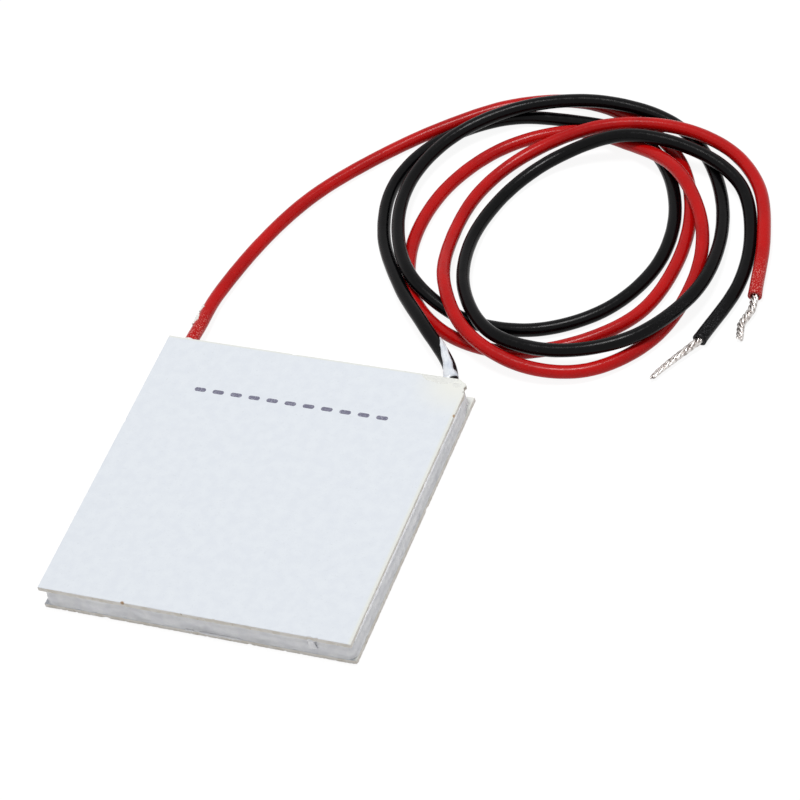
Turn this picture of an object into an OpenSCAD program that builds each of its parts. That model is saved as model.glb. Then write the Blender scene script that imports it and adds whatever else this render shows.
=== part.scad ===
// Cooling module: two ceramic plates with a series circuit of small semiconductor
// blocks soldered between them, a silicone seal round the edge, and two leads.
// Millimetres. The origin is the middle of the hot plate's underside, +Z is up
// through the cold plate, and the leads leave towards +Y.

/* [Plates] */
// Size of both plates across the rows, along X
plate_w = 40; // [33:0.5:50]
// Size of both plates along the rows, along Y
plate_d = 40; // [33:0.5:50]
// Thickness of each ceramic plate
plate_t = 0.7; // [0.5:0.05:1.2]
// Scale of the small break at one corner of the cold plate, 0 for none
chip_scale = 1; // [0:0.25:1.5]

/* [Couples] */
// Rows of places, and places in each row
rows = 16; // [8:2:18]
// Side of each square semiconductor pellet
pellet_w = 1.4; // [1:0.05:1.7]
// Height of each pellet with its solder
pellet_h = 1.6; // [1.2:0.05:2.4]
// Thickness of the copper tabs
tab_t = 0.4; // [0.25:0.05:0.6]
// Copper that shows round a pellet on its tab
tab_margin = 0.1; // [0.05:0.05:0.15]

/* [Edge seal] */
// How far the seal's outer face lies inside the plates' edges
seal_inset = 0.6; // [0.3:0.1:1]
// Thickness of the seal's wall
seal_wall = 0.55; // [0.4:0.05:0.8]
// Depth of the hollow curve along the seal's outer face
seal_dip = 0.15; // [0.05:0.05:0.2]
// Gap between the seal and the nearest copper
seal_gap = 0.05; // [0.02:0.01:0.2]

/* [Leads] */
// Outside diameter of the insulation
lead_od = 1.7; // [1.3:0.1:2]
// Diameter over the twisted strands
wire_d = 1; // [0.6:0.05:1.2]
// Thickness of the silicone collar round a lead where it leaves the module
bead_wall = 0.3; // [0.15:0.05:0.35]
// Gap round a lead or a wire in the silicone
bead_fit = 0.03; // [0.01:0.01:0.1]
// How far the bead stays inside the plates' edges
bead_inset = 0.1; // [0:0.05:0.3]
// Lean of the red lead towards the black one where it leaves
red_lean = 0; // [-10:5:20]
// Lean of the black lead towards the red one where it leaves
black_lean = 20; // [-10:5:20]
// Height of solder above the middle of a wire on its tab
solder_over = 0.2; // [0.1:0.05:0.4]
// Strands that show round a stripped end
end_strands = 6; // [5:1:8]
// Depth of the grooves between those strands
strand_groove = 0.1; // [0:0.02:0.2]
// Full turns of twist in a stripped end
end_twist = 1.5; // [0.5:0.25:3]

/* [Hidden] */
// Heights, from the hot plate's underside up
tab_w = pellet_w + 2 * tab_margin;
hot_tab_z = plate_t;
pellet_z = hot_tab_z + tab_t;
cold_tab_z = pellet_z + pellet_h;
cold_plate_z = cold_tab_z + tab_t;
gap_h = cold_plate_z - plate_t;

// Plan: the outermost tabs lie just inside the seal
seal_w = plate_w - 2 * seal_inset;
seal_d = plate_d - 2 * seal_inset;
pitch_x = (seal_w - 2 * (seal_wall + seal_gap) - tab_w) / (rows - 1);
pitch_y = (seal_d - 2 * (seal_wall + seal_gap) - tab_w) / (rows - 1);
seal_corner_r = seal_wall / 2;
seal_groove_r = (pow(gap_h / 2, 2) + pow(seal_dip, 2)) / (2 * seal_dip);

// Each lead is soldered at the last place of an outermost row, its pad, and
// leaves through the seal. Its insulation starts just outside the seal's face.
pad_x = place_x(rows);
pad_y = place_y(rows);
lead_z = plate_t + gap_h / 2;
face_y = seal_d / 2 - pad_y;
function insulation_start(lean) = (face_y + lead_od / 2 * abs(sin(lean))) / cos(lean);
function lead_dir(side, lean) = [-side * sin(lean), cos(lean), 0];
function lead_start(side, lean) = [side * pad_x, pad_y, lead_z] + insulation_start(lean) * lead_dir(side, lean);
bead_depth = plate_d / 2 - bead_inset - seal_d / 2;
cut = 1; // how far a cutting shape runs past the face it cuts

// Outline of the broken corner, measured in from the corner
corner_chip = [[-1.5, 0], [-0.7, -0.4], [-0.2, -0.8], [-0.35, -1.3], [0, -2.1]];

// Routes of the leads along the surface that the module lies on. They start at
// the seal; each then lies on the surface and rises where it crosses a turn.
lead_floor = lead_od / 2;
lead_sides = 8;
lead_rings_per_step = 2;
end_rings_per_step = 5;
points_per_strand = 4;
red_route = [
  lead_start(-1, red_lean), [-18, 24, 1.6], [-18, 30, 1.1], [-16, 39.5, 0.85],
  [-12.5, 48, 0.85], [-7, 55.5, 0.85], [0, 62.5, 0.85], [8, 68, 0.85],
  [17, 70, 0.85], [25.5, 67.5, 0.85], [32.5, 62, 0.85], [36.5, 54, 0.85],
  [37.5, 45, 0.85], [35.5, 36.5, 0.85], [29.5, 30.5, 0.9], [21.5, 27.5, 0.85],
  [13, 29, 0.85], [6.5, 34.5, 0.85], [3.5, 43, 0.85], [4.5, 52.5, 0.85],
  [9.5, 60.5, 0.85], [17.5, 64.5, 1.1], [25.5, 63, 1.7], [33.5, 58.5, 3],
  [39, 51, 2.1], [40.5, 42.5, 1.1], [38.5, 33, 0.85], [32.5, 26.5, 1.1],
  [24.5, 25, 1.8], [16.5, 28, 2.9], [11, 35, 3.1], [8.5, 43.5, 1.4],
  [9, 52.5, 0.9], [13.5, 59.5, 1.6], [21.5, 64, 3.1], [30.5, 65.5, 3.1],
  [38.5, 63.5, 2.5], [44, 58.5, 1.7], [47, 50.5, 1.4], [48.5, 41.5, 0.9]
];
black_route = [
  lead_start(1, black_lean), [15.5, 23.5, 2.1], [10.5, 28.5, 2.6], [5, 34.5, 2.1],
  [-0.5, 43, 1.2], [-2.5, 52, 0.85], [0.5, 60, 0.85], [8, 65.5, 0.85],
  [17, 66.5, 0.85], [25.5, 65.3, 0.85], [31.5, 60, 0.85], [35, 52, 0.85],
  [35, 43.5, 0.85], [31, 36, 0.85], [23.5, 31.5, 0.85], [14.5, 31.5, 1],
  [6.5, 35.5, 2.6], [1.5, 43.5, 2.4], [0, 52.5, 1.9], [3, 60.5, 2.1],
  [10, 66, 2.7], [19, 68.5, 2.9], [28, 68, 2.1], [34.5, 64.5, 1],
  [39.5, 57, 0.9], [42, 48, 1.5], [41.5, 39, 2.4], [36.5, 31, 2.7],
  [28, 27.5, 2.5], [19.5, 28.5, 2.8], [13.5, 35, 2.4], [11, 44, 1.3],
  [12.5, 53, 0.85], [17.5, 59.5, 1.7], [25.5, 62.5, 3.7], [34.5, 62, 3.2],
  [41.5, 58.5, 1.9], [45, 51.5, 1], [46, 43, 0.85], [44, 33.5, 0.95]
];
// The stripped ends go on from where the insulation stops
function last_point(points) = points[len(points) - 1];
red_end_route = [
  last_point(red_route), [48.7, 39.6, 0.8], [48.4, 38.2, 0.7], [48.1, 37.1, 0.6],
  [48.3, 36, 0.55], [48.6, 34.8, 0.5]
];
black_end_route = [
  last_point(black_route), [43, 32, 0.8], [42, 30.5, 0.7], [41, 28.9, 0.6],
  [40.4, 27.8, 0.55], [40, 26.8, 0.5]
];

row_names = [for (row = [1:rows]) str(row < 10 ? "0" : "", row)];
$fn = 48;

// ---- Places in the array -------------------------------------------------
// Rows run along Y and are counted from -X; places in a row are counted from -Y.
function place_x(row) = (row - (rows + 1) / 2) * pitch_x;
function place_y(place) = (place - (rows + 1) / 2) * pitch_y;
function is_lead_place(row, place) = place == rows && (row == 1 || row == rows);
// The two kinds alternate like the squares of a chessboard, so that the chain of
// tabs meets them in turn.
function is_n_place(row, place) = (row + place) % 2 == 0;

// ---- Curves ---------------------------------------------------------------
function unit(v) = v / norm(v);
function spline_point(a, b, c, d, t) =
  0.5 * (2 * b + (c - a) * t + (2 * a - 5 * b + 4 * c - d) * t * t + (3 * b - a - 3 * c + d) * t * t * t);
// A smooth curve through the points, which starts along start_dir and stays at
// least floor_z above the surface
function smooth_path(points, start_dir, steps, floor_z) =
  let (
    last = len(points) - 1,
    before = points[1] - 2 * norm(points[1] - points[0]) * unit(start_dir),
    after = 2 * points[last] - points[last - 1],
    ends = concat([before], points, [after]),
    raw = concat(
      [for (i = [0:last - 1], k = [0:steps - 1])
        spline_point(ends[i], ends[i + 1], ends[i + 2], ends[i + 3], k / steps)],
      [points[last]]
    )
  )
  [for (p = raw) [p.x, p.y, max(p.z, floor_z)]];
function path_direction(path, i, start_dir) =
  i == 0 ? unit(start_dir) : unit(path[min(i + 1, len(path) - 1)] - path[i - 1]);
function end_direction(path) = last_point(path) - path[len(path) - 2];
// One ring of a sweep: the section's points, set square to the path and turned
function ring(center, dir, section, turn) =
  let (side = unit(cross(dir, [0, 0, 1])), up = cross(side, dir))
  [for (p = section)
    center + side * (p.x * cos(turn) - p.y * sin(turn)) + up * (p.x * sin(turn) + p.y * cos(turn))];
function round_section(d, sides) = [for (i = [0:sides - 1]) d / 2 * [cos(360 * i / sides), sin(360 * i / sides)]];
// Tinned strands seen end on, with shallow grooves between them
function strand_section() =
  [for (a = [0:360 / (points_per_strand * end_strands):359.9])
    (wire_d / 2 - strand_groove * (1 - cos(end_strands * a)) / 2) * [cos(a), sin(a)]];

// A solid swept along a path; its first face is square to start_dir
module sweep(path, section, start_dir, twist = 0) {
  sides = len(section);
  last = len(path) - 1;
  rings = [for (i = [0:last]) ring(path[i], path_direction(path, i, start_dir), section, twist * 360 * i / last)];
  polyhedron(
    points = [for (r = rings) each r],
    faces = concat(
      [[for (k = [0:sides - 1]) k]],
      [for (i = [0:last - 1], k = [0:sides - 1]) let (a = i * sides + k, b = i * sides + (k + 1) % sides)
        each [[a, a + sides, b + sides], [a, b + sides, b]]],
      [[for (k = [sides - 1:-1:0]) last * sides + k]]
    )
  );
}

// ---- Shapes ---------------------------------------------------------------
module centred_block(w, d, h) {
  translate([-w / 2, -d / 2, 0]) cube([w, d, h]);
}

module rounded_square(w, d, r) {
  square([w - 2 * r, d], center = true);
  square([w, d - 2 * r], center = true);
  for (x = [-1, 1], y = [-1, 1]) translate([x * (w / 2 - r), y * (d / 2 - r)]) circle(r);
}

// A round bar along Y from y to the given length
module bar_along_y(x, y, z, d, length) {
  translate([x, y, z]) rotate([-90, 0, 0]) cylinder(d = d, h = length);
}

// A tab that joins two neighbouring places
module tab_between(row_a, place_a, row_b, place_b, z) {
  translate([(place_x(row_a) + place_x(row_b)) / 2, (place_y(place_a) + place_y(place_b)) / 2, z])
    centred_block(
      tab_w + abs(row_b - row_a) * pitch_x,
      tab_w + abs(place_b - place_a) * pitch_y,
      tab_t
    );
}

// ---- Plates and seal --------------------------------------------------------
module hot_plate() {
  color("#e3e7ee") centred_block(plate_w, plate_d, plate_t);
}

module cold_plate() {
  corner = [plate_w / 2, plate_d / 2];
  color("#e3e7ee") translate([0, 0, cold_plate_z]) linear_extrude(plate_t) polygon(concat(
    [[corner.x, -corner.y], [-corner.x, -corner.y], [-corner.x, corner.y]],
    chip_scale > 0 ? [for (p = corner_chip) corner + chip_scale * p] : [corner]
  ));
}

module seal_grooves() {
  mid_z = plate_t + gap_h / 2;
  out = seal_groove_r - seal_dip;
  for (side = [-1, 1]) {
    bar_along_y(side * (seal_w / 2 + out), -seal_d / 2 - cut, mid_z, 2 * seal_groove_r, seal_d + 2 * cut);
    translate([-seal_w / 2 - cut, side * (seal_d / 2 + out), mid_z])
      rotate([0, 90, 0]) cylinder(r = seal_groove_r, h = seal_w + 2 * cut);
  }
}

module edge_seal() {
  color("#aeb6c2") difference() {
    translate([0, 0, plate_t]) linear_extrude(gap_h) difference() {
      rounded_square(seal_w, seal_d, seal_corner_r);
      square([seal_w - 2 * seal_wall, seal_d - 2 * seal_wall], center = true);
    }
    seal_grooves();
    at_pad(-1, red_lean) lead_bar(wire_d + 2 * bead_fit, 0, face_y + cut);
    at_pad(1, black_lean) lead_bar(wire_d + 2 * bead_fit, 0, face_y + cut);
  }
}

// ---- Copper tabs ------------------------------------------------------------
// On the hot plate each row's places are joined in pairs from its first place;
// the last pair of an outermost row is a terminal tab.
module hot_tabs() {
  color("#b87333") for (row = [1:rows], place = [1:2:rows - 1])
    if (!is_lead_place(row, place + 1)) tab_between(row, place, row, place + 1, hot_tab_z);
}

// On the cold plate the pairs are shifted by one place
module cold_tabs() {
  color("#b87333") for (row = [1:rows], place = [2:2:rows - 2])
    tab_between(row, place, row, place + 1, cold_tab_z);
}

// and the places left over at both ends join each row to the next
module turn_tabs() {
  color("#b87333") {
    for (row = [1:2:rows - 1]) tab_between(row, 1, row + 1, 1, cold_tab_z);
    for (row = [2:2:rows - 2]) tab_between(row, rows, row + 1, rows, cold_tab_z);
  }
}

module terminal_tab(row) {
  color("#b87333") tab_between(row, rows - 1, row, rows, hot_tab_z);
}

module red_terminal_tab() {
  terminal_tab(1);
}

module black_terminal_tab() {
  terminal_tab(rows);
}

// ---- Pellets ----------------------------------------------------------------
module pellet_row(row, is_n) {
  for (place = [1:rows])
    if (is_n_place(row, place) == is_n && !is_lead_place(row, place))
      translate([place_x(row), place_y(place), pellet_z]) centred_block(pellet_w, pellet_w, pellet_h);
}

module n_pellets(row) {
  color("#6f7176") pellet_row(row, true);
}

module p_pellets(row) {
  color("#5a5b60") pellet_row(row, false);
}

// ---- Lead joints --------------------------------------------------------------
// Puts a shape that is drawn along +Y from the origin on a pad, along its lead
module at_pad(side, lean) {
  translate([side * pad_x, pad_y, lead_z]) rotate([0, 0, side * lean]) children();
}

module lead_bar(d, from, to) {
  bar_along_y(0, from, 0, d, to - from);
}

// The stripped wire that lies over a terminal tab
module wire_root(side, lean) {
  color("#c9cccf") at_pad(side, lean) lead_bar(wire_d, -tab_w / 2, insulation_start(lean));
}

// A mound of solder, wide on the tab and narrower over the wire
module solder_mound(side, lean) {
  top_z = lead_z + solder_over;
  top_w = (wire_d + tab_w) / 2;
  color("#b9bcc0") difference() {
    translate([side * pad_x, pad_y + tab_w / 2, 0]) rotate([90, 0, 0]) linear_extrude(tab_w)
      polygon([[-tab_w / 2, pellet_z], [tab_w / 2, pellet_z], [top_w / 2, top_z], [-top_w / 2, top_z]]);
    at_pad(side, lean) lead_bar(wire_d, -tab_w, tab_w);
  }
}

// The silicone dab round a lead, which fills the space between the seal's face
// and the plates' edge; its outer corners are round
module root_bead(side, lean) {
  round_r = bead_depth / 2;
  mid_y = face_y + bead_depth / 2;
  width = lead_od / cos(lean) + bead_depth * abs(tan(lean)) + 2 * bead_wall;
  color("#e9e6df") difference() {
    translate([side * (pad_x - mid_y * tan(lean)), seal_d / 2, plate_t]) linear_extrude(gap_h) {
      translate([-width / 2, 0]) square([width, bead_depth - round_r]);
      translate([-width / 2 + round_r, 0]) square([width - 2 * round_r, bead_depth]);
      for (x = [-1, 1]) translate([x * (width / 2 - round_r), bead_depth - round_r]) circle(round_r);
    }
    at_pad(side, lean) lead_bar(lead_od + 2 * bead_fit, 0, face_y + bead_depth + cut);
  }
}

module red_wire_root() {
  wire_root(-1, red_lean);
}

module black_wire_root() {
  wire_root(1, black_lean);
}

module red_solder() {
  solder_mound(-1, red_lean);
}

module black_solder() {
  solder_mound(1, black_lean);
}

module red_root_bead() {
  root_bead(-1, red_lean);
}

module black_root_bead() {
  root_bead(1, black_lean);
}

// ---- Leads ----------------------------------------------------------------------
red_dir = lead_dir(-1, red_lean);
black_dir = lead_dir(1, black_lean);
red_path = smooth_path(red_route, red_dir, lead_rings_per_step, lead_floor);
black_path = smooth_path(black_route, black_dir, lead_rings_per_step, lead_floor);

module insulated_lead(path, start_dir) {
  sweep(path, round_section(lead_od, lead_sides), start_dir);
}

// A stripped end starts square to the insulation's cut face
module stripped_end(lead_path, end_route) {
  start_dir = end_direction(lead_path);
  path = smooth_path(end_route, start_dir, end_rings_per_step, wire_d / 2);
  color("#c9cccf") sweep(path, strand_section(), start_dir, end_twist);
}

module red_lead() {
  color("#c8191c") insulated_lead(red_path, red_dir);
}

module black_lead() {
  color("#1d1d20") insulated_lead(black_path, black_dir);
}

module red_wire_end() {
  stripped_end(red_path, red_end_route);
}

module black_wire_end() {
  stripped_end(black_path, black_end_route);
}

hot_plate();
cold_plate();
edge_seal();
hot_tabs();
cold_tabs();
turn_tabs();
red_terminal_tab();
black_terminal_tab();
red_solder();
black_solder();
red_wire_root();
black_wire_root();
red_root_bead();
black_root_bead();
red_lead();
black_lead();
red_wire_end();
black_wire_end();
for (row = [1:rows]) {
  n_pellets(row);
  p_pellets(row);
}
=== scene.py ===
"""Looks of a thermoelectric cooling module with its two leads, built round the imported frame.

Lengths are metres, in the frame of the CAD model: the origin is the middle of the hot
plate's underside, +Z is up and the leads leave towards +Y.
"""
import math
import random

import bpy
import numpy as np
from mathutils import Matrix, Vector


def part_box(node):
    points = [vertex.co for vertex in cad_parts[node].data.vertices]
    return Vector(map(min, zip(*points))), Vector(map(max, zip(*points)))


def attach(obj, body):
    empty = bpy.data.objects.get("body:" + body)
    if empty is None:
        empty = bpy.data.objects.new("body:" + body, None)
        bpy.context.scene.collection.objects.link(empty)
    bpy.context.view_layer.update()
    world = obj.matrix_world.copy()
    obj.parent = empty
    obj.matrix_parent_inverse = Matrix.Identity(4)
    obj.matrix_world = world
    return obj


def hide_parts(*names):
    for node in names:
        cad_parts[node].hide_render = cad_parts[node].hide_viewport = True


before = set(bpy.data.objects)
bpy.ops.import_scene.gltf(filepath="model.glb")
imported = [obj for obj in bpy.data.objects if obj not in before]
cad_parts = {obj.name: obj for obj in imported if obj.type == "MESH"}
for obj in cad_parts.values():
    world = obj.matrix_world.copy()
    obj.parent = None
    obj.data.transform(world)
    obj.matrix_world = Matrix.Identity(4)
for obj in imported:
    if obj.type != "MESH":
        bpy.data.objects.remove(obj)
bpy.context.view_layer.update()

BODY = "root"
MM = 0.001

# ---- Sizes, taken from the CAD nodes -------------------------------------------------
hot_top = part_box("hot_plate")[1]
cold_bottom, cold_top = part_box("cold_plate")
PLATE_HALF = hot_top.x
CAVITY_LO = hot_top.z
CAVITY_HI = cold_bottom.z
PLATE_TOP = cold_top.z
SEAL_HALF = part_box("edge_seal")[1].x
LEAD_R = 0.85 * MM
WIRE_R = 0.5 * MM
# The hole at the insulation's cut end, a little wider than the wire
BORE_R = 0.56 * MM
BORE_DEPTH = 1.3 * MM

# ---- Routes of the leads, the points of the CAD model's source -----------------------
RED_DIR = (0, 1, 0)
BLACK_LEAN = math.radians(20)
BLACK_DIR = (-math.sin(BLACK_LEAN), math.cos(BLACK_LEAN), 0)
RED_ROUTE = [
    (-0.018, 0.0194, 0.0019), (-0.018, 0.024, 0.0016), (-0.018, 0.030, 0.0011),
    (-0.016, 0.0395, 0.00085), (-0.0125, 0.048, 0.00085), (-0.007, 0.0555, 0.00085),
    (0, 0.0625, 0.00085), (0.008, 0.068, 0.00085), (0.017, 0.070, 0.00085),
    (0.0255, 0.0675, 0.00085), (0.0325, 0.062, 0.00085), (0.0365, 0.054, 0.00085),
    (0.0375, 0.045, 0.00085), (0.0355, 0.0365, 0.00085), (0.0295, 0.0305, 0.0009),
    (0.0215, 0.0275, 0.00085), (0.013, 0.029, 0.00085), (0.0065, 0.0345, 0.00085),
    (0.0035, 0.043, 0.00085), (0.0045, 0.0525, 0.00085), (0.0095, 0.0605, 0.00085),
    (0.0175, 0.0645, 0.0011), (0.0255, 0.063, 0.0017), (0.0335, 0.0585, 0.003),
    (0.039, 0.051, 0.0021), (0.0405, 0.0425, 0.0011), (0.0385, 0.033, 0.00085),
    (0.0325, 0.0265, 0.0011), (0.0245, 0.025, 0.0018), (0.0165, 0.028, 0.0029),
    (0.011, 0.035, 0.0031), (0.0085, 0.0435, 0.0014), (0.009, 0.0525, 0.0009),
    (0.0135, 0.0595, 0.0016), (0.0215, 0.064, 0.0031), (0.0305, 0.0655, 0.0031),
    (0.0385, 0.0635, 0.0025), (0.044, 0.0585, 0.0017), (0.047, 0.0505, 0.0014),
    (0.0485, 0.0415, 0.0009),
]
BLACK_ROUTE = [
    (0.017385, 0.019691, 0.0019), (0.0155, 0.0235, 0.0021), (0.0105, 0.0285, 0.0026),
    (0.005, 0.0345, 0.0021), (-0.0005, 0.043, 0.0012), (-0.0025, 0.052, 0.00085),
    (0.0005, 0.060, 0.00085), (0.008, 0.0655, 0.00085), (0.017, 0.0665, 0.00085),
    (0.0255, 0.0653, 0.00085), (0.0315, 0.060, 0.00085), (0.035, 0.052, 0.00085),
    (0.035, 0.0435, 0.00085), (0.031, 0.036, 0.00085), (0.0235, 0.0315, 0.00085),
    (0.0145, 0.0315, 0.001), (0.0065, 0.0355, 0.0026), (0.0015, 0.0435, 0.0024),
    (0, 0.0525, 0.0019), (0.003, 0.0605, 0.0021), (0.010, 0.066, 0.0027),
    (0.019, 0.0685, 0.0029), (0.028, 0.068, 0.0021), (0.0345, 0.0645, 0.001),
    (0.0395, 0.057, 0.0009), (0.042, 0.048, 0.0015), (0.0415, 0.039, 0.0024),
    (0.0365, 0.031, 0.0027), (0.028, 0.0275, 0.0025), (0.0195, 0.0285, 0.0028),
    (0.0135, 0.035, 0.0024), (0.011, 0.044, 0.0013), (0.0125, 0.053, 0.00085),
    (0.0175, 0.0595, 0.0017), (0.0255, 0.0625, 0.0037), (0.0345, 0.062, 0.0032),
    (0.0415, 0.0585, 0.0019), (0.045, 0.0515, 0.001), (0.046, 0.043, 0.00085),
    (0.044, 0.0335, 0.00095),
]
RED_END_ROUTE = [
    RED_ROUTE[-1], (0.0487, 0.0396, 0.0008), (0.0484, 0.0382, 0.0007),
    (0.0481, 0.0371, 0.0006), (0.0483, 0.036, 0.00055), (0.0486, 0.0348, 0.0005),
]
BLACK_END_ROUTE = [
    BLACK_ROUTE[-1], (0.043, 0.032, 0.0008), (0.042, 0.0305, 0.0007),
    (0.041, 0.0289, 0.0006), (0.0404, 0.0278, 0.00055), (0.040, 0.0268, 0.0005),
]


# ---- Curves --------------------------------------------------------------------------
SPLINE_STEPS = 48


def smooth_path(route, start_dir, floor, step):
    """Points at an even step along the smooth curve through the route, not below floor."""
    pts = np.array(route, float)
    first = np.array(start_dir, float)
    reach = np.linalg.norm(pts[1] - pts[0])
    ends = np.vstack([pts[1] - 2 * reach * first, pts, 2 * pts[-1] - pts[-2]])
    t = np.linspace(0, 1, SPLINE_STEPS, endpoint=False)[:, None]
    dense = []
    for a, b, c, d in zip(ends, ends[1:], ends[2:], ends[3:]):
        dense.append(0.5 * (2 * b + (c - a) * t + (2 * a - 5 * b + 4 * c - d) * t ** 2
                            + (3 * b - a - 3 * c + d) * t ** 3))
    dense = np.vstack(dense + [pts[-1:]])
    dense[:, 2] = np.maximum(dense[:, 2], floor)
    run = np.concatenate([[0], np.cumsum(np.linalg.norm(np.diff(dense, axis=0), axis=1))])
    count = max(2, round(run[-1] / step)) + 1
    even = np.linspace(0, run[-1], count)
    return np.stack([np.interp(even, run, dense[:, k]) for k in range(3)], 1), even


def frames(path, start_dir):
    """Unit vectors along, sideways and upwards at each point of a path."""
    along = np.gradient(path, axis=0)
    along[0] = start_dir
    along /= np.linalg.norm(along, axis=1)[:, None]
    side = np.cross(along, [0, 0, 1])
    side /= np.linalg.norm(side, axis=1)[:, None]
    return along, side, np.cross(side, along)


WANDER_PEAK = 1.4


def wander(turn, seed, low, high, count=7):
    """A smooth seeded wander between about -1 and 1 that repeats every full turn."""
    rng = random.Random(seed)
    total = 0
    for _ in range(count):
        total = total + np.sin(rng.randint(low, high) * turn + rng.uniform(0, 2 * math.pi))
    return total / math.sqrt(count) / WANDER_PEAK


# ---- Meshes --------------------------------------------------------------------------
def skin(rings, loop=False):
    """Vertices and faces over rings of equal count; closed at both ends or round on itself."""
    rings = np.asarray(rings)
    n, m = rings.shape[:2]
    i = np.arange(n if loop else n - 1)[:, None] * m
    j = np.arange(m)[None]
    k = (j + 1) % m
    up = (i + m) % (n * m)
    quads = np.stack([i + j, i + k, up + k, up + j], -1).reshape(-1, 4)
    faces = quads.tolist()
    if not loop:
        faces += [list(range(m - 1, -1, -1)), list(range((n - 1) * m, n * m))]
    return rings.reshape(-1, 3), faces


def piece(name, parts, material, replaced=(), flat_caps=False):
    """One object of one or more (vertices, faces) shells, riding on the module.

    flat_caps keeps the faces of more than four corners unsmoothed.
    """
    verts, faces, start = [], [], 0
    for v, f in parts:
        verts.append(v)
        faces += [[a + start for a in face] for face in f]
        start += len(v)
    mesh = bpy.data.meshes.new(name)
    mesh.from_pydata(np.vstack(verts).tolist(), [], faces)
    mesh.polygons.foreach_set(
        "use_smooth", [not (flat_caps and len(f) > 4) for f in faces])
    mesh.materials.append(material)
    mesh.update()
    obj = bpy.data.objects.new(name, mesh)
    bpy.context.scene.collection.objects.link(obj)
    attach(obj, BODY)
    if replaced:
        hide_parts(*replaced)
    return obj


# ---- Materials -----------------------------------------------------------------------
class Material:
    """A node material on one Principled shader, in object coordinates."""

    def __init__(self, name, roughness, **constants):
        self.data = bpy.data.materials.new(name)
        self.data.use_nodes = True
        self.tree = self.data.node_tree
        self.shader = self.tree.nodes["Principled BSDF"]
        self.shader.inputs["Roughness"].default_value = roughness
        for key, value in constants.items():
            self.shader.inputs[key.replace("_", " ")].default_value = value
        self.place = self.tree.nodes.new("ShaderNodeTexCoord").outputs["Object"]

    def link(self, a, b):
        self.tree.links.new(a, b)

    def noise(self, size, detail=3.0):
        """Fractal noise whose features are about size metres across."""
        n = self.tree.nodes.new("ShaderNodeTexNoise")
        n.inputs["Scale"].default_value = 1 / size
        n.inputs["Detail"].default_value = detail
        self.link(self.place, n.inputs["Vector"])
        return n.outputs["Fac"]

    def spread(self, value, from_lo, from_hi, to_lo=0.0, to_hi=1.0):
        """A value's range mapped smoothly to another range."""
        m = self.tree.nodes.new("ShaderNodeMapRange")
        m.interpolation_type = "SMOOTHSTEP"
        for key, number in (("From Min", from_lo), ("From Max", from_hi),
                            ("To Min", to_lo), ("To Max", to_hi)):
            m.inputs[key].default_value = number
        self.link(value, m.inputs["Value"])
        return m.outputs["Result"]

    def near(self, point, inner, outer):
        """1 within inner of a point, 0 beyond outer."""
        v = self.tree.nodes.new("ShaderNodeVectorMath")
        v.operation = "DISTANCE"
        self.link(self.place, v.inputs[0])
        v.inputs[1].default_value = point
        return self.spread(v.outputs["Value"], inner, outer, 1.0, 0.0)

    def axis(self, name):
        """One coordinate, X, Y or Z, in metres."""
        s = self.tree.nodes.new("ShaderNodeSeparateXYZ")
        self.link(self.place, s.inputs[0])
        return s.outputs[name]

    def facing_up(self):
        """1 on faces that point up, 0 on upright ones."""
        g = self.tree.nodes.new("ShaderNodeNewGeometry")
        s = self.tree.nodes.new("ShaderNodeSeparateXYZ")
        self.link(g.outputs["Normal"], s.inputs[0])
        return s.outputs["Z"]

    def math(self, operation, a, b):
        m = self.tree.nodes.new("ShaderNodeMath")
        m.operation = operation
        for socket, value in zip(m.inputs, (a, b)):
            if isinstance(value, float):
                socket.default_value = value
            else:
                self.link(value, socket)
        return m.outputs[0]

    def mix(self, factor, a, b):
        """Colour a where factor is 0 and b where it is 1."""
        m = self.tree.nodes.new("ShaderNodeMix")
        m.data_type = "RGBA"
        self.link(factor, m.inputs[0])
        for socket, value in ((m.inputs[6], a), (m.inputs[7], b)):
            if isinstance(value, tuple):
                socket.default_value = (*value, 1)
            else:
                self.link(value, socket)
        return m.outputs[2]

    def color(self, value):
        self.link(value, self.shader.inputs["Base Color"])

    def rough(self, value):
        self.link(value, self.shader.inputs["Roughness"])

    def bump(self, value, height):
        """Relief of height metres."""
        b = self.tree.nodes.new("ShaderNodeBump")
        b.inputs["Strength"].default_value = 1.0
        b.inputs["Distance"].default_value = height
        self.link(value, b.inputs["Height"])
        self.link(b.outputs["Normal"], self.shader.inputs["Normal"])


def srgb(*rgb):
    """A colour on the display's 0 to 255 scale, as the linear colour that a shader takes."""
    return tuple(c / 255 / 12.92 if c <= 10 else ((c / 255 + 0.055) / 1.055) ** 2.4
                 for c in rgb)


# The middle range of a noise, which gives a soft change between two tones
SOFT = (0.3, 0.7)


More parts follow.
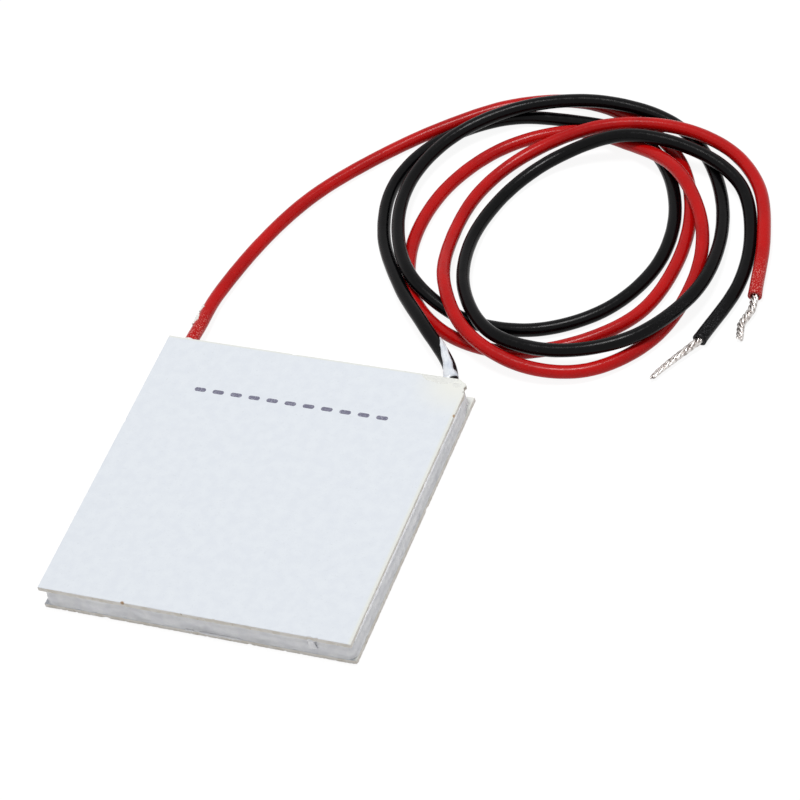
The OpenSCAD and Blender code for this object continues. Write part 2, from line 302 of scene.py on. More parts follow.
def ceramic():
    """Alumina: a faintly mottled matt face, and sawn sides stained along their edges."""
    m = Material("alumina", 0.55, Specular_IOR_Level=0.3)
    face = m.mix(m.spread(m.noise(1.3 * MM), *SOFT), srgb(225, 230, 237), srgb(229, 234, 240))
    face = m.mix(m.spread(m.noise(0.25 * MM, 2), 0.62, 0.75), face, srgb(220, 225, 231))
    rim = m.math(
        "MAXIMUM",
        m.spread(m.axis("X"), PLATE_HALF - 0.6 * MM, PLATE_HALF - 0.1 * MM),
        m.spread(m.axis("Y"), PLATE_HALF - 0.4 * MM, PLATE_HALF - 0.1 * MM))
    face = m.mix(rim, face, srgb(230, 232, 226))
    broken_corner = (PLATE_HALF - 1 * MM, PLATE_HALF, PLATE_TOP)
    face = m.mix(m.near(broken_corner, 1 * MM, 7 * MM), face, srgb(237, 238, 232))
    side = m.mix(m.spread(m.noise(1.1 * MM), 0.4, 0.6), srgb(238, 234, 228), srgb(226, 220, 210))
    side = m.mix(m.spread(m.noise(0.5 * MM), 0.62, 0.74), side, srgb(196, 182, 164))
    color = m.mix(m.spread(m.facing_up(), 0.3, 0.8), side, face)
    for spot, radius, stain in STAINS:
        color = m.mix(m.near(spot, radius * 0.4, radius), color, stain)
    m.color(color)
    m.rough(m.spread(m.noise(0.6 * MM), *SOFT, 0.42, 0.62))
    m.bump(m.noise(0.12 * MM, 4), 0.008 * MM)
    return m.data


def silicone(name, dark, pale, roughness, wrinkle):
    """Cured silicone: glossy, slightly clouded, with light passing a little way in."""
    m = Material(name, roughness, Specular_IOR_Level=0.5, Subsurface_Weight=0.25,
                 Subsurface_Scale=0.4 * MM, Coat_Weight=0.25, Coat_Roughness=0.12)
    m.shader.inputs["Subsurface Radius"].default_value = (1, 1, 1)
    m.color(m.mix(m.spread(m.noise(1.2 * MM, 4), 0.36, 0.64), dark, pale))
    m.rough(m.spread(m.noise(0.4 * MM), *SOFT, roughness * 0.7, roughness * 1.5))
    m.bump(m.noise(wrinkle, 3), 0.015 * MM)
    return m.data


def insulation(name, base, dark, pale, speck, root, tip, shine):
    """Extruded plastic insulation, satin with fine ripples; scuffed near its two ends."""
    m = Material(name, 0.26, Specular_IOR_Level=shine)
    tone = m.mix(m.spread(m.noise(4 * MM), 0.35, 0.65), base, dark)
    tone = m.mix(m.spread(m.noise(0.22 * MM, 2), 0.63, 0.74), tone, pale)
    ends = m.math("MAXIMUM", m.near(root, 3.5 * MM, 7.5 * MM), m.near(tip, 2 * MM, 7 * MM))
    grit = m.math("MULTIPLY", m.spread(m.noise(0.15 * MM, 1), 0.55, 0.64), ends)
    m.color(m.mix(grit, tone, speck))
    m.rough(m.spread(m.noise(0.5 * MM), *SOFT, 0.16, 0.3))
    m.bump(m.noise(0.3 * MM, 3), 0.012 * MM)
    return m.data


def metal(name, bright, dull, roughness, grain, metallic=1.0):
    """Metal or semiconductor, in two tones, with an uneven gloss; grain is in metres."""
    m = Material(name, roughness, Metallic=metallic)
    m.color(m.mix(m.spread(m.noise(grain * 3), 0.35, 0.65), bright, dull))
    m.rough(m.spread(m.noise(grain), *SOFT, roughness * 0.7, roughness * 1.4))
    m.bump(m.noise(grain, 3), 0.01 * MM)
    return m.data


def ink():
    """Thin printing ink, worn through in fine grains."""
    m = Material("marking_ink", 0.6, Specular_IOR_Level=0.25)
    m.color(m.mix(m.spread(m.noise(0.15 * MM, 2), 0.5, 0.7),
                  srgb(116, 115, 134), srgb(172, 173, 188)))
    m.bump(m.noise(0.1 * MM, 2), 0.004 * MM)
    return m.data


# Brown stains on the plates' edges: where, how wide and what colour
STAINS = [
    ((-8.9 * MM, -PLATE_HALF, PLATE_TOP - 0.1 * MM), 0.35 * MM, srgb(178, 146, 114)),
    ((PLATE_HALF, 14.4 * MM, PLATE_TOP - 0.1 * MM), 0.3 * MM, srgb(186, 150, 112)),
    ((PLATE_HALF - 0.2 * MM, 18.1 * MM, PLATE_TOP - 0.2 * MM), 0.28 * MM, srgb(96, 86, 74)),
    ((PLATE_HALF - 0.3 * MM, 18.9 * MM, PLATE_TOP - 0.3 * MM), 0.2 * MM, srgb(120, 108, 92)),
]

mat_ceramic = ceramic()
mat_seal = silicone("edge_silicone", srgb(232, 233, 238), srgb(242, 243, 246), 0.12, 0.9 * MM)
mat_white = silicone("white_silicone", srgb(214, 221, 232), srgb(236, 241, 248), 0.3, 0.5 * MM)
mat_cream = silicone("smeared_silicone", srgb(238, 239, 234), srgb(245, 246, 241), 0.3, 0.6 * MM)
mat_red = insulation("red_plastic", srgb(190, 13, 12), srgb(176, 9, 10), srgb(200, 26, 23),
                     srgb(222, 128, 120), RED_ROUTE[0], RED_ROUTE[-1], 0.17)
mat_black = insulation("black_plastic", srgb(6, 5, 7), srgb(3, 3, 4), srgb(15, 15, 17),
                       srgb(52, 52, 54), BLACK_ROUTE[0], BLACK_ROUTE[-1], 0.11)
mat_tin = metal("tinned_copper", srgb(226, 222, 219), srgb(150, 142, 138), 0.24, 0.16 * MM)
mat_solder = metal("solder_tin", srgb(196, 198, 202), srgb(150, 152, 156), 0.34, 0.3 * MM)
mat_copper = metal("copper_sheet", srgb(208, 138, 96), srgb(164, 96, 62), 0.32, 0.2 * MM)
mat_n = metal("n_telluride", srgb(122, 124, 130), srgb(84, 86, 92), 0.4, 0.15 * MM, 0.7)
mat_p = metal("p_telluride", srgb(104, 104, 112), srgb(68, 68, 76), 0.45, 0.15 * MM, 0.7)
mat_ink = ink()

# ---- CAD nodes that stay, with their materials ---------------------------------------
NODE_MATERIALS = (
    ("n_pellets", mat_n), ("p_pellets", mat_p), ("hot_tabs", mat_copper),
    ("cold_tabs", mat_copper), ("turn_tabs", mat_copper), ("red_terminal", mat_copper),
    ("black_terminal", mat_copper), ("red_solder", mat_solder), ("black_solder", mat_solder),
    ("red_wire_root", mat_tin), ("black_wire_root", mat_tin),
    ("red_root_bead", mat_seal), ("black_root_bead", mat_white),
)
for node_name, node_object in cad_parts.items():
    for prefix, material in NODE_MATERIALS:
        if node_name.startswith(prefix):
            node_object.data.materials.clear()
            node_object.data.materials.append(material)

# ---- Leads ---------------------------------------------------------------------------
TUBE_ANGLE = np.linspace(0, 2 * math.pi, 32, endpoint=False)
TUBE_STEP = 0.36 * MM
# The skin: how far it stays inside the nominal radius, its ripples and its flattening
SKIN_TUCK = 0.008 * MM
RIPPLE = 0.007 * MM
OVAL = 0.006 * MM
# The cut end: how far it flares, over what length, and how far its face bulges
FLARE = 0.05 * MM
FLARE_REACH = 0.4 * MM
CUT_BULGE = 0.03 * MM


def rings_round(centre, side, up, angle, radius):
    """Rings round the points of a line, at angles that run from sideways to upwards."""
    flat = (side[:, None] * np.cos(angle)[None, :, None]
            + up[:, None] * np.sin(angle)[None, :, None])
    return centre[:, None] + flat * radius


def lead(name, node, route, start_dir, material, seed):
    """Insulation with a slightly wavy skin, a crushed cut end and a bore for its wire.

    Returns the piece, and its line: points, distance along, sideways and upward vectors.
    """
    path, run = smooth_path(route, start_dir, LEAD_R, TUBE_STEP)
    along, side, up = frames(path, start_dir)
    turn = run / run[-1] * 2 * math.pi
    left = run[-1] - run
    twist = 3 * wander(turn, seed + 1, 3, 20)
    radius = LEAD_R - SKIN_TUCK + RIPPLE * wander(turn, seed, 30, 140, 9)[:, None]
    radius = radius + OVAL * np.sin(2 * TUBE_ANGLE + twist[:, None])
    cut_shape = (np.sin(2 * TUBE_ANGLE + seed) + np.sin(3 * TUBE_ANGLE + 2 * seed)) / 2
    flare = FLARE * np.exp(-left / FLARE_REACH)
    radius = radius + flare[:, None] * (0.4 + 0.6 * cut_shape)
    rings = list(rings_round(path, side, up, TUBE_ANGLE, radius[..., None]))
    deep = np.flatnonzero(left < BORE_DEPTH)[::-1]
    bore = rings_round(path[deep], side[deep], up[deep], TUBE_ANGLE, BORE_R)
    rim = rings[-1]
    for share in (0.06, 0.5, 0.94):
        bulge = along[-1] * CUT_BULGE * math.sin(math.pi * share)
        rings.append(rim + (bore[0] - rim) * share + bulge)
    rings += list(bore)
    obj = piece(name, [skin(rings)], material, [node])
    return obj, (path, run, side, up)


red_cord, red_line = lead(
    "red_insulation", "red_lead", RED_ROUTE, RED_DIR, mat_red, 3)
black_cord, black_line = lead(
    "black_insulation", "black_lead", BLACK_ROUTE, BLACK_DIR, mat_black, 8)
red_path, black_path = red_line[0], black_line[0]

# ---- Stripped ends: twisted tinned strands -------------------------------------------
STRANDS = 5
STRAND_R = 0.19 * MM
CORE_WIDER = 1.05
STRAND_ANGLE = np.linspace(0, 2 * math.pi, 12, endpoint=False)
STRAND_STEP = 0.1 * MM
STRAND_ROUNDING = 0.22 * MM
# The gap between the strands' start and the bottom of the bore
BORE_GAP = 0.1 * MM
# What a fully squeezed tip loses of the bundle's width, its height and its strands
TIP_NARROWS, TIP_FLATTENS, TIP_THINS = 0.35, 0.45, 0.25


def stripped_end(name, node, lead_path, route, turns, squeeze, seed):
    """Strands twisted round a core, from the bore in the insulation to the tinned tip.

    squeeze is how far the bundle narrows and flattens towards its tip, 0 for not at all.
    """
    start_dir = lead_path[-1] - lead_path[-2]
    start_dir /= np.linalg.norm(start_dir)
    start = lead_path[-1] - start_dir * (BORE_DEPTH - BORE_GAP)
    path, run = smooth_path([tuple(start), *route], start_dir, WIRE_R, STRAND_STEP)
    _, side, up = frames(path, start_dir)
    share = run / run[-1]
    turn = share * 2 * math.pi
    rng = random.Random(seed)
    shells = []
    for k in range(STRANDS + 1):
        is_core = k == STRANDS
        orbit = 0 if is_core else WIRE_R - STRAND_R
        orbit = orbit * (1 - TIP_NARROWS * squeeze * share ** 2)
        orbit = orbit * (1 + 0.07 * wander(turn, seed + k, 1, 6))
        angle = k * 2 * math.pi / STRANDS + turns * turn
        angle = angle + 0.16 * wander(turn, seed + 20 + k, 1, 5)
        height = 1 - TIP_FLATTENS * squeeze * share
        centre = (path + side * (np.cos(angle) * orbit)[:, None]
                  + up * (np.sin(angle) * orbit * height)[:, None])
        stop = len(path) - rng.randint(0, 4)
        thick = STRAND_R * (CORE_WIDER if is_core else 1)
        thick = thick * (1 - TIP_THINS * squeeze * share[:stop] ** 3)
        rounding = np.clip((run[stop - 1] - run[:stop]) / STRAND_ROUNDING, 0, 1)
        thick = thick * np.sqrt(1 - 0.93 * (1 - rounding) ** 2)
        shells.append(skin(rings_round(centre[:stop], side[:stop], up[:stop],
                                       STRAND_ANGLE, thick[:, None, None])))
    return piece(name, shells, mat_tin, [node])


red_tip = stripped_end(
    "red_strands", "red_wire_end", red_path, RED_END_ROUTE, 2.3, 0.15, 31)
black_tip = stripped_end(
    "black_strands", "black_wire_end", black_path, BLACK_END_ROUTE, 2.0, 1.0, 47)

# ---- Plates --------------------------------------------------------------------------
EDGE_STEP = 0.12 * MM
BEVEL = 0.06 * MM
# The cold plate's broken corner, in millimetres from where the corner would be
CORNER_BREAK = [(-1.5, 0), (-1.15, -0.12), (-0.7, -0.4), (-0.42, -0.5), (-0.2, -0.8),
                (-0.3, -1.05), (-0.35, -1.3), (-0.12, -1.75), (0, -2.1)]


def outline(corners):
    """Points at a small even step round a polygon, with their outward normals."""
    corners = np.array(corners, float)
    pts = []
    for a, b in zip(corners, np.roll(corners, -1, axis=0)):
        count = max(1, round(np.linalg.norm(b - a) / EDGE_STEP))
        pts.append(a + (b - a) * np.linspace(0, 1, count, endpoint=False)[:, None])
    pts = np.vstack(pts)
    along = np.roll(pts, -1, axis=0) - np.roll(pts, 1, axis=0)
    along /= np.linalg.norm(along, axis=1)[:, None]
    return pts, np.stack([along[:, 1], -along[:, 0]], 1)


def plate(name, corners, z_lo, z_hi, nicks, ragged, seed):
    """A ceramic plate with eased, slightly chipped edges, for the CAD node of that name.

    nicks are (x, y, half width, depth, at the top); ragged is the wear of each edge.
    """
    pts, normal = outline(corners)
    turn = np.linspace(0, 2 * math.pi, len(pts), endpoint=False)
    worn = 0.012 * MM * (1 + wander(turn, seed, 40, 300, 12))
    low = ragged * np.clip(wander(turn, seed + 1, 60, 420, 12) - 0.25, 0, 1)
    high = 0.4 * ragged * np.clip(wander(turn, seed + 2, 60, 420, 12) - 0.4, 0, 1)
    for x, y, half, depth, at_top in nicks:
        gap = np.hypot(pts[:, 0] - x, pts[:, 1] - y) / half
        nick = depth * np.clip(1 - gap ** 2, 0, 1)
        if at_top:
            high = high + nick
        else:
            low = low + nick
    thick = z_hi - z_lo
    # Height, inset, and each ring's share of the lower and of the upper edge's wear
    levels = (
        (z_lo, BEVEL, 1.0, 0.0),
        (z_lo + BEVEL, 0, 0.9, 0.0),
        (z_lo + 0.3 * thick, 0, 0.3, 0.0),
        (z_lo + 0.6 * thick, 0, 0.0, 0.15),
        (z_hi - 0.2 * thick, 0, 0.0, 0.5),
        (z_hi - BEVEL, 0, 0.0, 0.9),
        (z_hi, BEVEL, 0.0, 1.0),
    )
    rings = []
    for z, inset, low_share, high_share in levels:
        inward = inset + np.clip(worn, 0, None) + low * low_share + high * high_share
        flat = pts - normal * inward[:, None]
        rings.append(np.column_stack([flat, np.full(len(pts), z)]))
    piece(name + "_worn", [skin(rings)], mat_ceramic, [name], flat_caps=True)


H = PLATE_HALF
break_line = [(H + x * MM, H + y * MM) for x, y in reversed(CORNER_BREAK)]
plate("cold_plate", [(H, -H), *break_line, (-H, H), (-H, -H)], CAVITY_HI, PLATE_TOP, [
    (-8.9 * MM, -H, 0.3 * MM, 0.12 * MM, True), (2.8 * MM, -H, 0.25 * MM, 0.1 * MM, True),
    (14.9 * MM, -H, 0.45 * MM, 0.14 * MM, True), (15.7 * MM, -H, 0.2 * MM, 0.1 * MM, True),
    (H, 14.4 * MM, 0.3 * MM, 0.12 * MM, True), (H, -16.2 * MM, 0.3 * MM, 0.1 * MM, False),
    (-H, 6 * MM, 0.3 * MM, 0.1 * MM, True), (-3 * MM, H, 0.4 * MM, 0.12 * MM, True)],
    0.06 * MM, 5)
plate("hot_plate", [(H, -H), (H, H), (-H, H), (-H, -H)], 0.0, CAVITY_LO, [
    (-12 * MM, -H, 0.5 * MM, 0.14 * MM, False), (6.5 * MM, -H, 0.35 * MM, 0.12 * MM, False),
    (H, 3 * MM, 0.4 * MM, 0.12 * MM, False), (H, -H, 0.4 * MM, 0.12 * MM, False),
    (-H, -9 * MM, 0.4 * MM, 0.1 * MM, True), (9 * MM, H, 0.5 * MM, 0.12 * MM, False)],
    0.09 * MM, 9)

# ---- Edge seal -----------------------------------------------------------------------
SEAL_STATIONS = 960
SEAL_ROWS = 20
SEAL_CORNER = 0.5 * MM
SEAL_WALL = 0.55 * MM
# The furthest that the silicone stands out from the CAD seal's face
SEAL_MOST = 0.57 * MM
FOOT_RISE = 0.16
# The silicone is flush with the CAD seal this near a lead's root, and fades in beyond
CALM_REACH = 1.6 * MM
CALM_FADE = 2 * MM
ROOTS = (np.array(RED_ROUTE[0][:2]), np.array(BLACK_ROUTE[0][:2]))


def seal_outline():
    """Even stations round the seal's rounded square, with their outward normals."""
    ring = []
    for k, (cx, cy) in enumerate(((1, -1), (1, 1), (-1, 1), (-1, -1))):
        for step in range(7):
            a = math.radians(-90 + 90 * k + 15 * step)
            ring.append((cx * (SEAL_HALF - SEAL_CORNER) + SEAL_CORNER * math.cos(a),
                         cy * (SEAL_HALF - SEAL_CORNER) + SEAL_CORNER * math.sin(a)))
    ring = np.array(ring + ring[:1])
    run = np.concatenate([[0], np.cumsum(np.linalg.norm(np.diff(ring, axis=0), axis=1))])
    even = np.linspace(0, run[-1], SEAL_STATIONS, endpoint=False)
    pts = np.stack([np.interp(even, run, ring[:, k]) for k in range(2)], 1)
    along = np.roll(pts, -2, axis=0) - np.roll(pts, 2, axis=0)
    along /= np.linalg.norm(along, axis=1)[:, None]
    return pts, np.stack([along[:, 1], -along[:, 0]], 1)


def edge_silicone():
    """Silicone wiped into the gap between the plates: fuller at the hot plate, hollow above."""
    pts, normal = seal_outline()
    turn = np.linspace(0, 2 * math.pi, SEAL_STATIONS, endpoint=False)
    fullness = (0.34 * MM + 0.12 * MM * wander(turn, 21, 3, 24, 8)
                + 0.03 * MM * wander(turn, 22, 60, 160, 8))
    foot = 0.55 * MM + 0.03 * MM * wander(turn, 23, 40, 160, 8)
    crest = 0.55 + 0.3 * wander(turn, 24, 4, 40, 6)
    rise = FOOT_RISE * (1 + 0.6 * wander(turn, 25, 5, 50, 8)).clip(0.3, 2)
    # A ridge under the cold plate, along the whole right side and in places elsewhere
    on_right = np.clip((pts[:, 0] - SEAL_HALF + 0.3 * MM) / (0.2 * MM), 0, 1)
    in_places = np.clip(wander(turn, 27, 5, 30, 8) * 2 - 0.5, 0, 1)
    ridge = 0.5 * MM + 0.06 * MM * wander(turn, 26, 20, 90, 8)
    ridge = ridge * np.maximum(on_right, in_places)
    gap_to_root = np.min([np.hypot(*(pts - r).T) for r in ROOTS], axis=0)
    calm = np.clip((gap_to_root - CALM_REACH) / CALM_FADE, 0, 1)

    def ring(out, share):
        """The outline moved outwards, at a share of the gap's height."""
        z = CAVITY_LO + share * (CAVITY_HI - CAVITY_LO)
        return np.column_stack([pts + normal * out, np.full(len(pts), z)])

    rings = []
    for t in np.linspace(0, 1, SEAL_ROWS) ** 1.3:
        belly = 1 - 1.1 * (t - 0.35 * crest) ** 2
        out = fullness * belly - 0.08 * MM * math.exp(-((t - 0.7) / 0.12) ** 2)
        foot_share = np.exp(-(t / rise) ** 2)
        out = out * (1 - foot_share) + foot * foot_share
        out = np.maximum(out, ridge * math.exp(-((1 - t) / 0.12) ** 2))
        out = out + 0.012 * MM * wander(turn, 40 + int(t * 14), 60, 160, 6)
        out = np.clip(out, 0, SEAL_MOST) * calm
        rings.append(ring(out[:, None], t))
    for t in (1.0, 0.5, 0.0):
        rings.append(ring(-SEAL_WALL, t))
    rings = np.array(rings).transpose(1, 0, 2)[:, ::-1]
    piece("seal_silicone", [skin(rings, loop=True)], mat_seal, ["edge_seal"])


edge_silicone()

BEAD_STEP = 0.15 * MM
BEAD_ANGLE = np.linspace(0, 2 * math.pi, 20, endpoint=False)
# How nearly a bead runs along an axis for its section to be square to that axis
ALONG_AXIS = 0.9


def bead(start, end, half_x, half_y, half_z, seed):
    """A smear of silicone between two points, an uneven oval tapered to its ends.

    The half sizes are those of its section; the one along its length is not used.
    """
    start, end = np.array(start, float), np.array(end, float)
    length = np.linalg.norm(end - start)
    share = np.linspace(0, 1, max(16, round(length / BEAD_STEP)))[:, None]
    centre = start + (end - start) * share
    turn = share * 2 * math.pi
    taper = np.sqrt(np.clip(1 - (2 * share - 1) ** 8, 0.02, 1))
    size = taper * (1 + 0.3 * wander(turn, seed, 5, 40, 7)
                    + 0.12 * wander(turn, seed + 1, 40, 120, 7))
    cos, sin, none = np.cos(BEAD_ANGLE), np.sin(BEAD_ANGLE), 0 * BEAD_ANGLE
    along = (end - start) / length
    if abs(along[2]) > ALONG_AXIS:
        offset = np.stack([half_x * cos, half_y * sin, none], 1)
    elif abs(along[1]) > ALONG_AXIS:
        offset = np.stack([half_x * sin, none, half_z * cos], 1)
    else:
        offset = np.stack([none, half_y * cos, half_z * sin], 1)
    return skin(centre[:, None] + offset[None] * size[..., None])


UNDER_COLD = CAVITY_HI + 0.12 * MM
FRONT_FOOT = CAVITY_LO + 0.05 * MM
# Smears: under the cold plate's right edge, two along the front's foot, and one across its gap
piece("smeared_edges", [
    bead((H, -19.2 * MM, UNDER_COLD), (H, 17.2 * MM, UNDER_COLD),
         0.12 * MM, 0, 0.19 * MM, 61),
    bead((0.2 * MM, -H, FRONT_FOOT), (5.8 * MM, -H, FRONT_FOOT),
         0, 0.15 * MM, 0.1 * MM, 63),
    bead((-1.6 * MM, -H, FRONT_FOOT), (-0.4 * MM, -H, FRONT_FOOT),
         0, 0.12 * MM, 0.09 * MM, 65),
    bead((14.8 * MM, -19.78 * MM, CAVITY_LO + 0.5 * MM),
         (14.8 * MM, -19.95 * MM, CAVITY_HI + 0.3 * MM),
         0.5 * MM, 0.1 * MM, 0, 67),
], mat_seal)


# ---- Silicone on the leads' roots and on the broken corner ---------------------------
def patch_shell(top, bottom):
    """A closed shell between two grids of points that meet nowhere."""
    n, m = top.shape[:2]
    verts = np.vstack([top.reshape(-1, 3), bottom.reshape(-1, 3)])
    base = n * m
    faces = []
    for i in range(n - 1):
        for j in range(m - 1):
            a, b, c, d = i * m + j, (i + 1) * m + j, (i + 1) * m + j + 1, i * m + j + 1
            faces.append([a, b, c, d])
            faces.append([base + d, base + c, base + b, base + a])
    rim = list(range(m)) + [i * m + m - 1 for i in range(1, n)]
    rim += [(n - 1) * m + j for j in range(m - 2, -1, -1)] + [i * m for i in range(n - 2, 0, -1)]
    for a, b in zip(rim, rim[1:] + rim[:1]):
        faces.append([a, b, base + b, base + a])
    return verts, faces


TONGUE_GRID = (44, 22)
# The skin of silicone starts this far inside the insulation, and this thick at its rim
TONGUE_SUNK = 0.06 * MM
TONGUE_RIM = 0.015 * MM


def tongue_on_lead(line, stops, thickness, seed):
    """A thin skin of silicone on a lead, between two angles that change along it.

    stops are (millimetres along the lead, first angle, last angle), where 90 is the top.
    """
    path, run, side, up = line
    rows, columns = TONGUE_GRID
    stops = np.array(stops, float)
    s = np.linspace(stops[0, 0], stops[-1, 0], rows) * MM
    turn = np.linspace(0, 2 * math.pi, rows)
    lo = np.radians(np.interp(s / MM, stops[:, 0], stops[:, 1]))
    lo = lo + 0.06 * wander(turn, seed, 2, 7)
    hi = np.radians(np.interp(s / MM, stops[:, 0], stops[:, 2]))
    hi = hi + 0.08 * wander(turn, seed + 1, 2, 8)
    top, bottom = np.zeros((rows, columns, 3)), np.zeros((rows, columns, 3))
    for i in range(rows):
        centre = [np.interp(s[i], run, path[:, k]) for k in range(3)]
        k = int(np.searchsorted(run, s[i]).clip(0, len(run) - 1))
        u = i / (rows - 1)
        for j, v in enumerate(np.linspace(0, 1, columns)):
            a = lo[i] + (hi[i] - lo[i]) * v
            out = side[k] * math.cos(a) + up[k] * math.sin(a)
            dome = min(1, 5 * v, 5 * (1 - v)) * min(1, 6 * (1 - u))
            lump = 1 + 0.35 * math.sin(9 * v + 11 * u + seed) * math.sin(7 * u - 4 * v)
            thick = TONGUE_RIM + thickness * math.sqrt(max(dome, 0)) * lump
            top[i, j] = centre + out * (LEAD_R + thick)
            bottom[i, j] = centre + out * (LEAD_R - TONGUE_SUNK)
    return patch_shell(top, bottom)


black_tongue = piece("black_root_silicone", [
    tongue_on_lead(black_line, [
        (0.45, 96, 205), (1.35, 92, 205), (1.75, 2, 200), (2.6, 62, 178), (3.9, 54, 138),
        (5.2, 48, 113), (6.7, 28, 82), (8.0, 20, 32)], 0.13 * MM, 2),
], mat_white)
red_flakes = piece("red_root_silicone", [
    tongue_on_lead(red_line, [(0.5, 20, 165), (1.0, 30, 160), (1.5, 60, 130)], 0.08 * MM, 5),
    tongue_on_lead(red_line, [(4.2, 136, 162), (4.9, 106, 172), (5.6, 116, 172),
                              (6.2, 140, 162)], 0.13 * MM, 6),
    tongue_on_lead(red_line, [(6.6, 138, 158), (7.2, 112, 168), (7.9, 138, 158)],
                   0.1 * MM, 7),
], mat_cream)

# A smear on a face starts this far below it, and its rim stands this far above
SMEAR_SUNK = 0.03 * MM
SMEAR_RIM = 0.006 * MM


def smear(x0, x1, y0, y1, height, seed):
    """A thin smear on the cold plate's face, with a ridge along its far side."""
    u, v = np.meshgrid(np.linspace(0, 1, 64), np.linspace(0, 1, 18), indexing="ij")
    turn = u * 2 * math.pi
    taper = np.sin(math.pi * u.clip(0.02, 0.98)) ** 0.45
    edge = 0.12 * wander(turn, seed, 3, 12)
    y = y1 - (y1 - y0) * (1 - v) * (taper + edge * (1 - v)).clip(0.06, 1.3)
    x = x0 + (x1 - x0) * u
    dome = 1
    for share in (6 * v, 6 * (1 - v), 8 * u, 8 * (1 - u)):
        dome = dome * np.minimum(1, share)
    ridge = np.exp(-((v - 0.85) / 0.08) ** 2)
    lumps = 0.6 + 0.4 * wander(turn, seed + 1, 4, 16) * np.cos(3 * v)
    z = PLATE_TOP + SMEAR_RIM + height * np.sqrt(dome) * (0.35 * lumps + 0.65 * ridge)
    under = np.full_like(z, PLATE_TOP - SMEAR_SUNK)
    return patch_shell(np.stack([x, y, z], -1)[:, ::-1], np.stack([x, y, under], -1)[:, ::-1])


piece("corner_silicone", [
    smear(13.9 * MM, 18.6 * MM, 18.9 * MM, 19.85 * MM, 0.09 * MM, 12),
    smear(18.1 * MM, 19.2 * MM, 18.6 * MM, 19.3 * MM, 0.12 * MM, 15),
], mat_cream)

# ---- Printed marks: a plain row of strokes -------------------------------------------
MARK_COUNT = 11
MARK_PITCH = 2.4 * MM
MARK_LENGTH, MARK_WIDTH = 1.5 * MM, 0.6 * MM
MARK_CENTRE = (-0.5 * MM, 12.4 * MM)
# Each ring of a stroke: its height over the plate's face, and its size
MARK_RINGS = ((-0.02 * MM, 1.0), (0.008 * MM, 1.0), (0.012 * MM, 0.97))


def mark(cx, cy):
    """One stroke with round ends, a hair above the plate's face."""
    r = MARK_WIDTH / 2
    w = MARK_LENGTH / 2 - r
    angle = np.radians(np.concatenate([np.linspace(-90, 90, 9), np.linspace(90, 270, 9)]))
    x = np.repeat([w, -w], 9) + r * np.cos(angle)
    y = r * np.sin(angle)
    return skin([np.column_stack([cx + x * size, cy + y * size, np.full(18, PLATE_TOP + z)])
                 for z, size in MARK_RINGS])


piece("printed_strokes", [
    mark(MARK_CENTRE[0] + (k - (MARK_COUNT - 1) / 2) * MARK_PITCH, MARK_CENTRE[1])
    for k in range(MARK_COUNT)], mat_ink, flat_caps=True)

# ---- Floor, light and camera ---------------------------------------------------------
# Diffuse reflectance of the floor as the object sees it, and as the camera does
FLOOR_ALBEDO = 0.8
SHADOW_SHARE = 0.14
BACKGROUND_GLOW = 0.91
FLOOR_REACH = 4.0
FLOOR_DROP = 0.02 * MM
DOME = 0.38
LAMP_PLACE = (0.02, 0.06, 0.6)
LAMP_SIDE = 0.16
LAMP_POWER = 2.25
CAMERA_AZIMUTH = math.radians(33.092)
CAMERA_ELEVATION = math.radians(47.037)
CAMERA_ROLL = math.radians(-16.733)
CAMERA_DISTANCE = 0.416674
CAMERA_TARGET = Vector((0.010706, 0.018442, 0))
CAMERA_LENS = 155.996
SENSOR_WIDTH = 36
NEAREST_SEEN = 0.01


def background_rays(tree):
    """1 for camera, glossy and transmission rays, 0 for the rays that light the object."""
    path = tree.nodes.new("ShaderNodeLightPath")
    total = path.outputs["Is Camera Ray"]
    for name in ("Is Glossy Ray", "Is Transmission Ray"):
        add = tree.nodes.new("ShaderNodeMath")
        add.operation = "MAXIMUM"
        tree.links.new(total, add.inputs[0])
        tree.links.new(path.outputs[name], add.inputs[1])
        total = add.outputs[0]
    return total


def shader(tree, kind, socket, value):
    """The output of a new shader node that has one of its sockets set."""
    node = tree.nodes.new(kind)
    node.inputs[socket].default_value = value
    return node.outputs[0]


def show(tree, output_kind, lights, seen):
    """Use one shader for the rays that light the object, and another for those that look."""
    choose = tree.nodes.new("ShaderNodeMixShader")
    output = tree.nodes.new(output_kind)
    tree.links.new(background_rays(tree), choose.inputs[0])
    tree.links.new(lights, choose.inputs[1])
    tree.links.new(seen, choose.inputs[2])
    tree.links.new(choose.outputs[0], output.inputs["Surface"])


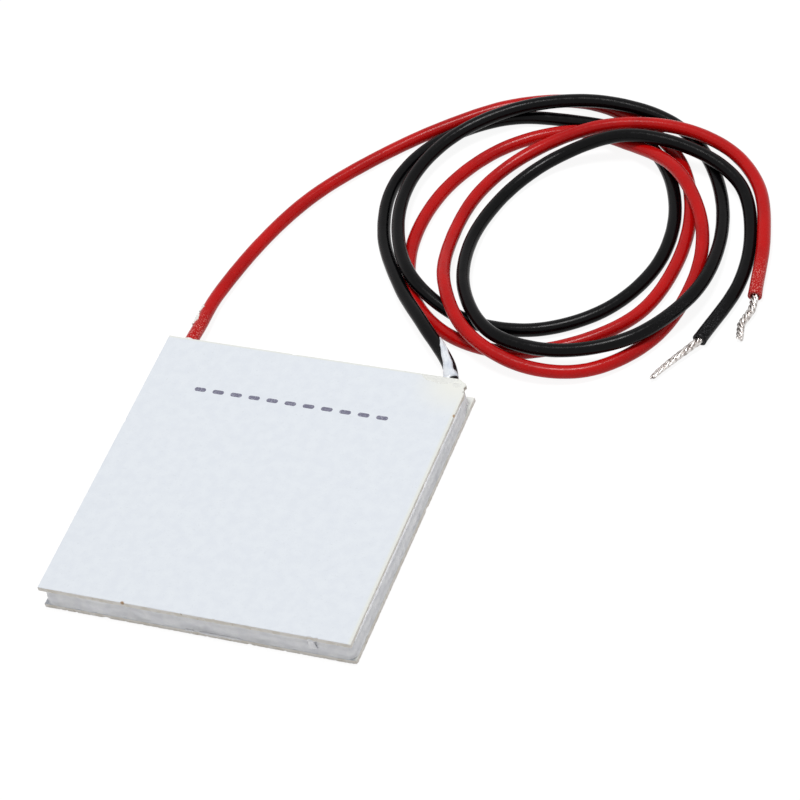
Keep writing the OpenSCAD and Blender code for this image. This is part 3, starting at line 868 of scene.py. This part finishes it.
def add_floor():
    """A white floor: the camera sees it glow evenly, with only a faint shadow."""
    mesh = bpy.data.meshes.new("floor")
    square = ((-1, -1), (1, -1), (1, 1), (-1, 1))
    mesh.from_pydata([(x * FLOOR_REACH, y * FLOOR_REACH, 0) for x, y in square],
                     [], [(0, 1, 2, 3)])
    floor = bpy.data.objects.new("floor", mesh)
    floor.location.z = -FLOOR_DROP
    bpy.context.scene.collection.objects.link(floor)
    material = bpy.data.materials.new("paper_white")
    material.use_nodes = True
    tree = material.node_tree
    tree.nodes.clear()
    lights = shader(tree, "ShaderNodeBsdfDiffuse", "Color", (FLOOR_ALBEDO,) * 3 + (1,))
    faint = shader(tree, "ShaderNodeBsdfDiffuse", "Color", (SHADOW_SHARE,) * 3 + (1,))
    glow = shader(tree, "ShaderNodeEmission", "Strength", BACKGROUND_GLOW)
    seen = tree.nodes.new("ShaderNodeAddShader")
    tree.links.new(glow, seen.inputs[0])
    tree.links.new(faint, seen.inputs[1])
    show(tree, "ShaderNodeOutputMaterial", lights, seen.outputs[0])
    mesh.materials.append(material)


def add_world():
    """An even dome of light, which the camera sees as white."""
    world = bpy.data.worlds.new("studio")
    bpy.context.scene.world = world
    world.use_nodes = True
    tree = world.node_tree
    tree.nodes.clear()
    lights, white = (shader(tree, "ShaderNodeBackground", "Strength", strength)
                     for strength in (DOME, 1.0))
    for output in (lights, white):
        output.node.inputs["Color"].default_value = (1, 1, 1, 1)
    show(tree, "ShaderNodeOutputWorld", lights, white)


def add_lamp():
    """One soft square lamp overhead."""
    data = bpy.data.lights.new("softbox", "AREA")
    data.size = LAMP_SIDE
    data.energy = LAMP_POWER
    lamp = bpy.data.objects.new("softbox", data)
    lamp.location = LAMP_PLACE
    bpy.context.scene.collection.objects.link(lamp)


def add_camera():
    """The photograph's camera, looking at the target from its azimuth and elevation."""
    level = math.cos(CAMERA_ELEVATION)
    back = Vector((math.sin(CAMERA_AZIMUTH) * level, -math.cos(CAMERA_AZIMUTH) * level,
                   math.sin(CAMERA_ELEVATION)))
    right = Vector((0, 0, 1)).cross(back).normalized()
    up = back.cross(right)
    camera_x = math.cos(CAMERA_ROLL) * right + math.sin(CAMERA_ROLL) * up
    camera_y = math.cos(CAMERA_ROLL) * up - math.sin(CAMERA_ROLL) * right
    data = bpy.data.cameras.new("camera")
    data.lens = CAMERA_LENS
    data.sensor_width = SENSOR_WIDTH
    data.clip_start = NEAREST_SEEN
    camera = bpy.data.objects.new("camera", data)
    camera.matrix_world = (Matrix.Translation(CAMERA_TARGET + CAMERA_DISTANCE * back)
                           @ Matrix((camera_x, camera_y, back)).transposed().to_4x4())
    bpy.context.scene.collection.objects.link(camera)
    bpy.context.scene.camera = camera


add_floor()
add_world()
add_lamp()
add_camera()
bpy.context.scene.view_settings.view_transform = "Standard"
